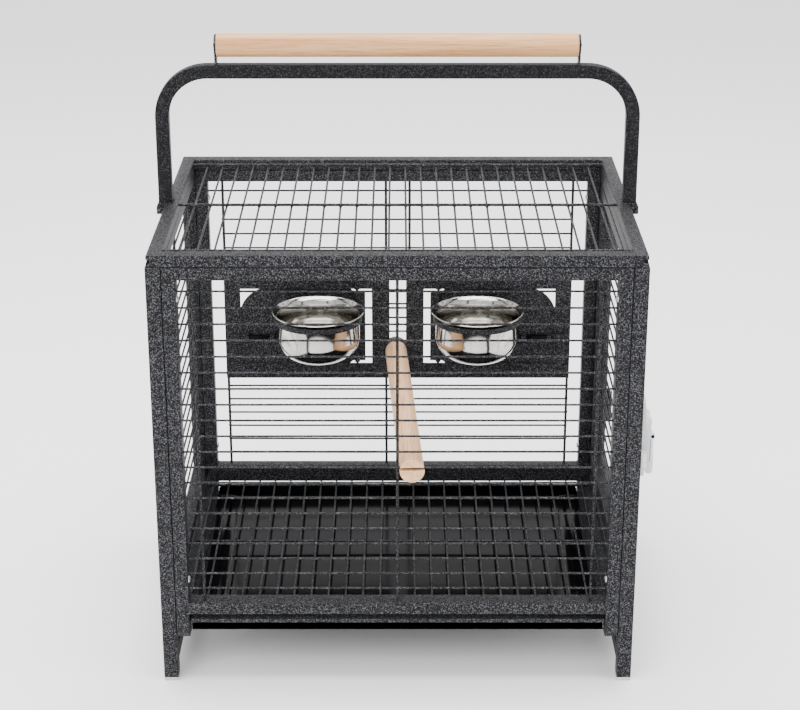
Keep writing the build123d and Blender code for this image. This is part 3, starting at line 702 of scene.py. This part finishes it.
def flat_mesh(count, pitch, front, rear, z, rod_z, rods, rod_length, seed):
    """A top or floor mesh: wires from front to back, rods from side to side."""
    start = -(count - 1) / 2 * pitch
    wander = 0.7 * MM
    meshes = [row(count, pitch, rear - front, WIRE, Y, X, (start, (front + rear) / 2, z), seed, wander)]
    welds = [(start + k * pitch, y, (z + rod_z) / 2) for k in range(count) for y in rods]
    for k, y in enumerate(rods):
        meshes.append(row(1, pitch, rod_length, ROD, X, Y, (0, y, rod_z), seed + 1 + k, ROD_WANDER))
    meshes.append(nuggets(welds, seed))
    return joined(meshes)


top_z = 462.6 * MM
top_rod_y = 154.0 * MM
floor_z = 75.35 * MM
floor_rod_y = 148.0 * MM
settle(flat_mesh(26, PITCH, -POST_Y, POST_Y, top_z, top_z + ROD_OUT, (-top_rod_y, 0.0, top_rod_y),
                 458.0 * MM, 400), "top_mesh", "cage", "powder_coat", "top_grille")
settle(flat_mesh(25, 18.2 * MM, -156.0 * MM, 162.5 * MM, floor_z, floor_z - ROD_OUT,
                 (-floor_rod_y, 0.0, floor_rod_y), 452.0 * MM, 440),
       "floor_mesh", "cage", "powder_coat", "floor_grate")


# ---- weld beads where the tubes meet and at the feet of the arch ----
def bead(start, end, gap=1.6 * MM):
    """Points along a weld run."""
    start, end = Vector(start), Vector(end)
    count = max(2, int((end - start).length / gap))
    return [start.lerp(end, k / count) for k in range(count + 1)]


def weld_beads():
    """Beads round the feet of the arch, and across the inner corners of the frames."""
    points = []
    top = span("top_frame")[1].z
    arch_x, half = 242.0 * MM, 7.0 * MM
    for side in (-1, 1):
        x = side * arch_x
        for y in (-half, half):
            points += bead((x - half, y, top), (x + half, y, top))
        points += bead((x - side * half, -half, top), (x - side * half, half, top))
    settle(nuggets(points, 500, 1.1 * MM), "arch_welds", "cage", "powder_coat")
    corners = []
    for y, depth in ((-169.0 * MM, 9.0 * MM), (171.5 * MM, 6.5 * MM)):
        for x in (-PANEL_X, PANEL_X):
            for z in (SILL, RAIL_UNDER):
                corners += bead((x, y - depth, z), (x, y + depth, z))
    side_middle, reach = 236.5 * MM, 6.5 * MM
    for x in (-side_middle, side_middle):
        for y in (-POST_Y, POST_Y):
            for z in (RAIL_UNDER, FOOT_RAIL + POST):
                corners += bead((x - reach, y, z), (x + reach, y, z))
    settle(nuggets(corners, 520, 0.9 * MM), "corner_welds", "cage", "powder_coat")


weld_beads()


# ---- screws ----
def screws():
    """Screw heads at the grip's ends, at the arch's feet, and inside the bolted panels."""
    ways = [(side, 0, 0) for side in (-1, 1)]
    low, high = span("grip_screws")
    tab_face = 186.0 * MM
    ends = [(side * tab_face, 0, (low.z + high.z) / 2) for side in (-1, 1)]
    heads = grown(SCREWS, points_mesh(ends, ways), Radius=3.6 * MM, Height=1.4 * MM, Seed=3,
                  Material=black_oxide)
    settle(heads, "grip_screw_heads", "cage", "black_steel", "grip_screws", material=black_oxide)
    low, high = span("arch_bolts")
    ear_face = high.x - 2.4 * MM
    ends = [(side * ear_face, 0, (low.z + high.z) / 2) for side in (-1, 1)]
    heads = grown(SCREWS, points_mesh(ends, ways), Radius=4.1 * MM, Height=2.2 * MM, Seed=5,
                  Material=black_oxide)
    settle(heads, "arch_bolt_heads", "cage", "black_steel", "arch_bolts", material=black_oxide)
    panel_y = 171.5 * MM
    ends = []
    ways = []
    for side in (-1, 1):
        for y in (-panel_y, panel_y):
            for level in (0.5, 18.5):
                ends.append((side * PANEL_X, y, FIRST + level * PITCH))
                ways.append((-side, 0, 0))
    heads = grown(SCREWS, points_mesh(ends, ways), Radius=3.9 * MM, Height=2.3 * MM, Seed=9, Material=zinc)
    settle(heads, "panel_screw_heads", "cage", "zinc_steel", "panel_screws", material=zinc)


screws()


# ---- steel bowls: spun from sheet, with a flared lip rolled over at the edge ----
def bowl(name, body):
    """A steel cup turned from its outside, its rolled rim and its inside."""
    low, high = span(name)
    centre = ((low.x + high.x) / 2, (low.y + high.y) / 2, 0)
    top = high.z
    wall = 0.9 * MM
    radius = 47.0 * MM
    curve = 26.0 * MM
    steps = 14
    outside = [(0.0, low.z + 0.8 * MM), (8 * MM, low.z + 0.5 * MM), (15 * MM, low.z), (18 * MM, low.z)]
    for k in range(1, steps + 1):
        turn = math.pi / 2 * k / steps
        outside.append((radius - curve + curve * math.sin(turn), low.z + curve * (1 - math.cos(turn))))
    outside += [(radius, top - 5.0 * MM), (radius + 0.5 * MM, top - 4.1 * MM),
                (radius + 2.2 * MM, top - 2.6 * MM), (radius + 3.7 * MM, top - 1.5 * MM)]
    roll = 0.85 * MM
    hub = (radius + 5.0 * MM - roll, top - roll)
    rim = [(hub[0] + roll * math.cos(a), hub[1] + roll * math.sin(a))
           for a in [math.radians(v) for v in range(-110, 111, 20)]]
    inside = []
    for r, z in reversed(outside):
        lift = wall if r < radius - 1 * MM else 0.5 * MM
        inside.append((max(r - wall, 0.0), z + lift))
    mesh = lathe(outside + rim + inside, centre, 128)
    settle(mesh, name.replace("bowl", "steel_bowl"), body, "stainless", name)


bowl("bowl_left", "cup_left")
bowl("bowl_right", "cup_right")


# ---- tray: thin black sheet with a pressed, slightly crowned floor and a folded front lip ----
def tray():
    """The pan with its turned-up sides, and the folded lip across its front."""
    low, high = span("tray")
    half = 212.0 * MM
    flat_edge = 16.0 * MM    # flat border round the pressed floor
    press_run = 7.0 * MM
    press_rise = 0.9 * MM
    crown_rise = 1.3 * MM
    side_height = 7.9 * MM
    front, rear = low.y, high.y
    pan_z = low.z + 0.5 * MM
    work = bmesh.new()
    bmesh.ops.create_grid(work, x_segments=96, y_segments=72, size=0.5)
    middle = (front + rear) / 2
    for vert in work.verts:
        u, v = vert.co.x * 2, vert.co.y * 2
        edge = min((1 - abs(u)) * half, (1 - abs(v)) * (rear - front) / 2)
        step = min(max((edge - flat_edge) / press_run, 0), 1)
        step = step * step * (3 - 2 * step)
        crown = (1 - u * u) * (1 - v * v)
        z = pan_z + step * press_rise + crown * crown_rise
        vert.co = (u * half, middle + v * (rear - front) / 2, z)
    rim = [edge for edge in work.edges if edge.is_boundary]
    grown_up = bmesh.ops.extrude_edge_only(work, edges=rim)["geom"]
    for vert in [item for item in grown_up if isinstance(item, bmesh.types.BMVert)]:
        vert.co.z = low.z + side_height
    mesh = bpy.data.meshes.new("pan")
    bmesh.ops.recalc_face_normals(work, faces=work.faces)
    work.to_mesh(mesh)
    work.free()
    pan = temporary(mesh)
    wall = pan.modifiers.new("sheet", "SOLIDIFY")
    wall.thickness = 0.8 * MM
    wall.offset = 0.0
    mesh = evaluated(pan)
    for vert in mesh.vertices:
        vert.co.x = max(-half, min(half, vert.co.x))
        vert.co.y = max(front, min(rear, vert.co.y))
    settle(mesh, "tray_pan", "pull_tray", "tray_black", "tray")
    fold_reach, fold_under, lip_thick = 9 * MM, high.z - 1.1 * MM, 1.5 * MM
    lip = [(front, low.z), (front, high.z), (front + fold_reach, high.z), (front + fold_reach, fold_under),
           (front + lip_thick, fold_under), (front + lip_thick, low.z)]
    fold = slab([lip], high.x - low.x, 0.35 * MM, axes((0, 1, 0), (0, 0, 1), (0, 0, 0)))
    settle(fold, "tray_lip", "pull_tray", "tray_black", material=coat)


tray()


# ---- latch: die-cast base and housing, and a curved thumb lever ----
def latch():
    """Rounded castings, the curved lever drawn in section, its pin's heads, and the keeper."""
    base = bevelled(cad_copy("latch_base"), 1.1 * MM)
    settle(base, "latch_back_plate", "side_door", "latch_grey", "latch_base")
    housing = bevelled(cad_copy("latch_housing"), 0.7 * MM)
    settle(housing, "latch_body", "side_door", "latch_grey", "latch_housing")
    low, high = span("latch_lever")
    profile = [(255.6, 270.6), (257.2, 271.0), (258.3, 270.0), (258.7, 266.0), (258.9, 258.0),
               (259.2, 250.0), (259.5, 244.0), (259.5, 236.0), (259.1, 229.5), (258.0, 227.0),
               (255.8, 226.2), (252.2, 227.2), (251.4, 229.5), (251.4, 238.6), (255.0, 239.2),
               (256.2, 241.0), (256.3, 249.0), (256.2, 258.0), (255.8, 265.0)]
    loop = [(x * MM, z * MM) for x, z in profile]
    pin_x, pin_z, bore_radius, steps = 257.5 * MM, 269.0 * MM, 1.05 * MM, 24
    turns = [2 * math.pi * k / steps for k in range(steps)]
    bore = [(pin_x + bore_radius * math.cos(a), pin_z + bore_radius * math.sin(a)) for a in turns]
    middle = (0, (low.y + high.y) / 2, 0)
    mesh = slab([loop, bore], high.y - low.y, 0.5 * MM, axes((1, 0, 0), (0, 0, 1), middle))
    settle(mesh, "latch_thumb_lever", "lever", "latch_grey", "latch_lever", smooth=25)
    pin_low, pin_high = span("latch_pin")
    axle = ((pin_low.x + pin_high.x) / 2, (pin_low.z + pin_high.z) / 2)
    ends = [(axle[0], pin_low.y, axle[1]), (axle[0], pin_high.y, axle[1])]
    heads = grown(SCREWS, points_mesh(ends, [(0, -1, 0), (0, 1, 0)]), Radius=1.8 * MM, Height=0.9 * MM,
                  Seed=11, Material=black_oxide)
    settle(heads, "latch_pin_heads", "side_door", "zinc_steel", material=black_oxide)
    strike = bevelled(cad_copy("latch_strike"), 0.8 * MM)
    settle(strike, "latch_keeper", "cage", "latch_grey", "latch_strike")


latch()


# ---- small rounded parts ----
def rounded(node, name, body, slot, width):
    """A CAD node with its edges rounded, as a piece of its own."""
    settle(bevelled(cad_copy(node), width), name, body, slot, node)


rounded("foot_glides", "post_glides", "cage", "grey_plastic", 0.8 * MM)
rounded("arch_ears", "arch_feet", "cage", "powder_coat", 0.8 * MM)
rounded("grip_tabs", "grip_end_tabs", "cage", "powder_coat", 0.4 * MM)


# ---- stage, light and camera ----
def flat_piece(name, corners, material):
    """One flat face."""
    mesh = bpy.data.meshes.new(name)
    mesh.from_pydata(corners, [], [tuple(range(len(corners)))])
    mesh.materials.append(material)
    piece = bpy.data.objects.new(name, mesh)
    bpy.context.scene.collection.objects.link(piece)
    return piece


def stage():
    """A pale floor that fades into a white surround."""
    material, tree, _ = new_finish("pale studio floor")
    shader = add(tree, "ShaderNodeBsdfPrincipled", {"Base Color": srgb("#FCFCFC"), "Roughness": 0.9})
    add(tree, "ShaderNodeOutputMaterial", {"Surface": shader.outputs[0]})
    reach = 6.0
    corners = [(x, y, 0) for x, y in box_loop(-reach, reach, -reach, reach)]
    flat_piece("floor", corners, material)
    world = bpy.data.worlds.new("white surround")
    bpy.context.scene.world = world
    world.use_nodes = True
    back = world.node_tree.nodes["Background"]
    back.inputs["Color"].default_value = srgb("#FFFFFF")
    back.inputs["Strength"].default_value = 1.6


def soft_light(name, place, aim, size, power):
    """A rectangular lamp at a place, facing a point."""
    light = bpy.data.lights.new(name, "AREA")
    light.shape = "RECTANGLE"
    light.size, light.size_y = size
    light.energy = power
    lamp = bpy.data.objects.new(name, light)
    lamp.location = place
    lamp.rotation_euler = (Vector(aim) - Vector(place)).to_track_quat("-Z", "Y").to_euler()
    bpy.context.scene.collection.objects.link(lamp)


def camera():
    """Two metres in front of the cage and above it, tilted down."""
    tilt = 21.2
    eye = bpy.data.cameras.new("camera")
    eye.sensor_width = 36.0
    eye.lens = 88.4
    holder = bpy.data.objects.new("camera", eye)
    holder.location = (0.0026, -1.974, 1.062)
    holder.rotation_euler = (math.radians(90 - tilt), 0, 0)
    bpy.context.scene.collection.objects.link(holder)
    bpy.context.scene.camera = holder


stage()
soft_light("key", (-0.9, -2.2, 1.9), (0, 0, 0.3), (2.0, 1.4), 55)
soft_light("top", (0, 0.2, 2.6), (0, 0, 0.2), (2.4, 2.0), 130)
camera()
